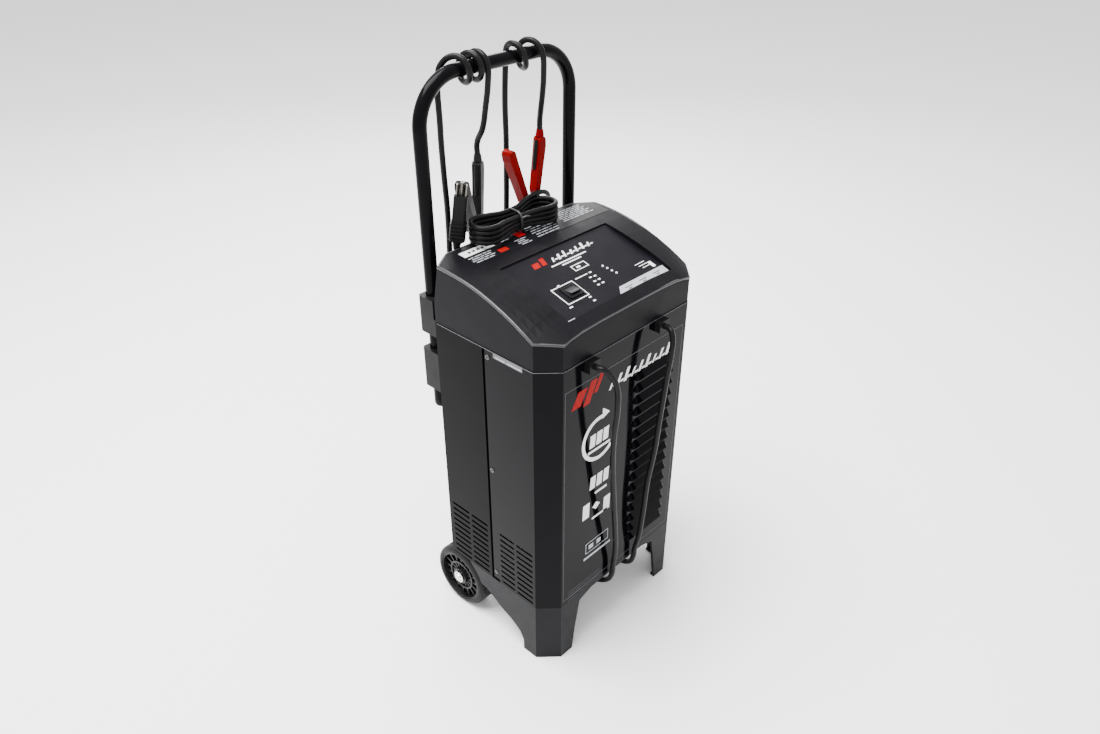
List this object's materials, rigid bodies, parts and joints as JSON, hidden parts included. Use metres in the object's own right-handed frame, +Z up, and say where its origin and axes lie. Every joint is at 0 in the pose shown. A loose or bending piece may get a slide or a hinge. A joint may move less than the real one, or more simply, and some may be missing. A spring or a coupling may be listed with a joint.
{
  "type": "wheeled battery charger",
  "caption": "Upright sheet-metal battery charger on two wheels, with a sloping control cap, louvred front, bent tube handle, spring clamps on heavy leads and a mains cord.",
  "frame": {"origin": "on the floor below the middle of the box round the charger, measured without the cords and what hangs on them", "axes": "+Z up, front with the louvres faces -Y, +X to the right seen from the front"},
  "size_m": [0.3284, 0.3191, 0.8711],
  "materials": {
    "cap_plastic": "matt charcoal",
    "overlay": "satin printed sheet",
    "label": "gloss printed sheet",
    "black_plastic": "matt",
    "black_gloss": "gloss",
    "led_lens": "clear",
    "board": "solder mask",
    "plated_steel": "zinc plated",
    "panel_front": "gloss black enamel",
    "panel_side": "semi-gloss black enamel",
    "black_screw": "black oxide",
    "foot_plastic": "matt moulded",
    "zinc_cap": "bright zinc",
    "wheel_plastic": "satin",
    "wheel_tyre": "matt",
    "tube_paint": "semi-gloss black enamel",
    "cord_jacket": "satin",
    "red_vinyl": "satin",
    "black_vinyl": "satin",
    "tie_plastic": "satin",
    "brass_blade": "plain",
    "core_steel": "laminated steel",
    "copper_wire": "enamelled wire",
    "aluminium": "extruded"
  },
  "bodies": {
    "charger": {"cap": "cap_plastic", "control_overlay": "overlay", "label_strip": "label", "switch_bezel": "black_plastic", "status_leds": "led_lens", "control_board": "board", "board_screws": "plated_steel", "shell_front": "panel_front", "shell_rear": "panel_side", "body_screws": "black_screw", "foot_base": "foot_plastic", "axle": "plated_steel", "axle_caps": "zinc_cap", "axle_spacers": "plated_steel", "handle_tube": "tube_paint", "tube_plugs": "black_plastic", "collar_left": "black_plastic", "collar_right": "black_plastic", "bracket_left": "black_plastic", "bracket_right": "black_plastic", "handle_screws": "plated_steel", "outlet_neg": "black_plastic", "outlet_pos": "black_plastic", "cable_neg": "cord_jacket", "cable_pos": "cord_jacket", "red_arm_fixed": "plated_steel", "red_grip_fixed": "red_vinyl", "red_spring": "plated_steel", "red_pin": "plated_steel", "black_arm_fixed": "plated_steel", "black_grip_fixed": "black_vinyl", "black_spring": "plated_steel", "black_pin": "plated_steel", "power_cord_hank": "cord_jacket", "cord_tie": "tie_plastic", "power_plug": "cord_jacket", "plug_blades": "brass_blade", "power_cord_lead": "cord_jacket", "power_cord_tail": "cord_jacket", "power_cord_gland": "black_plastic", "transformer_core": "core_steel", "transformer_coils": "copper_wire", "transformer_frame": "plated_steel", "frame_bolts": "plated_steel", "heat_sink": "aluminium", "diodes": "black_plastic", "circuit_breaker": "black_plastic"},
    "wheel_left": {"wheel_left_rim": "wheel_plastic", "wheel_left_tyre": "wheel_tyre"},
    "wheel_right": {"wheel_right_rim": "wheel_plastic", "wheel_right_tyre": "wheel_tyre"},
    "rocker": {"switch_rocker": "black_gloss"},
    "red_jaw": {"red_arm_moving": "plated_steel", "red_grip_moving": "red_vinyl"},
    "black_jaw": {"black_arm_moving": "plated_steel", "black_grip_moving": "black_vinyl"}
  },
  "joints": [
    {"name": "wheel_left_spin", "type": "hinge", "parent": "charger", "child": "wheel_left", "pos_m": [-0.1405, 0.0795, 0.054], "axis": [1, 0, 0], "continuous": true},
    {"name": "wheel_right_spin", "type": "hinge", "parent": "charger", "child": "wheel_right", "pos_m": [0.1405, 0.0795, 0.054], "axis": [1, 0, 0], "continuous": true},
    {"name": "rocker_tilt", "type": "hinge", "parent": "charger", "child": "rocker", "pos_m": [-0.048, -0.05995, 0.58889], "axis": [1, 0, 0], "range_deg": [-2, 10]},
    {"name": "red_jaw_open", "type": "hinge", "parent": "charger", "child": "red_jaw", "pos_m": [0.058, 0.118, 0.604], "axis": [0, 1, 0], "range_deg": [0, 16], "stiffness_Nm_per_rad": 0.6, "springref_deg": -20.05},
    {"name": "black_jaw_open", "type": "hinge", "parent": "charger", "child": "black_jaw", "pos_m": [-0.04, 0.1305, 0.588], "axis": [-0.454, 0.891, 0], "range_deg": [0, 16], "stiffness_Nm_per_rad": 0.6, "springref_deg": -20.05}
  ]
}
